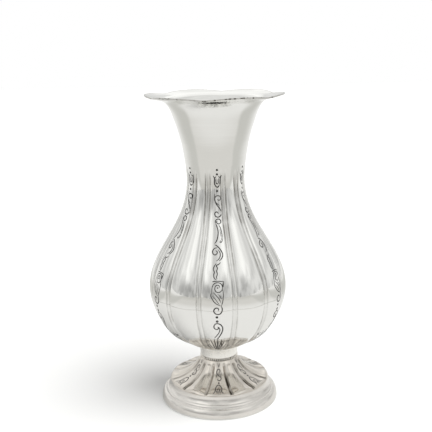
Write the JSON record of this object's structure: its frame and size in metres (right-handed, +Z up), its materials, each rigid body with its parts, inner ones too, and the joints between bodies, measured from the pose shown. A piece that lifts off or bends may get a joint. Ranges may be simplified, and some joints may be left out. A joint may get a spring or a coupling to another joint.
{
  "type": "trumpet vase",
  "caption": "Polished silver flower vase with a lobed pear-shaped body, engraved scrolls, a trumpet neck, a scalloped lip and a fluted spreading foot.",
  "frame": {"origin": "middle of the foot wire's underside, on the surface that the vase stands on", "axes": "+Z up along the vase's axis; -Y is the front, through the middle of an engraved lobe"},
  "size_m": [0.106, 0.106, 0.2404],
  "materials": {
    "polished_silver": "polished",
    "silver_wire": "polished"
  },
  "bodies": {
    "root": {"trumpet_neck": "polished_silver", "body_upper": "polished_silver", "body_lower": "polished_silver", "stem_collar": "polished_silver", "foot_dome": "polished_silver", "foot_ring": "polished_silver", "rim_wire": "silver_wire", "milled_ring": "silver_wire", "foot_wire": "silver_wire"}
  },
  "joints": []
}
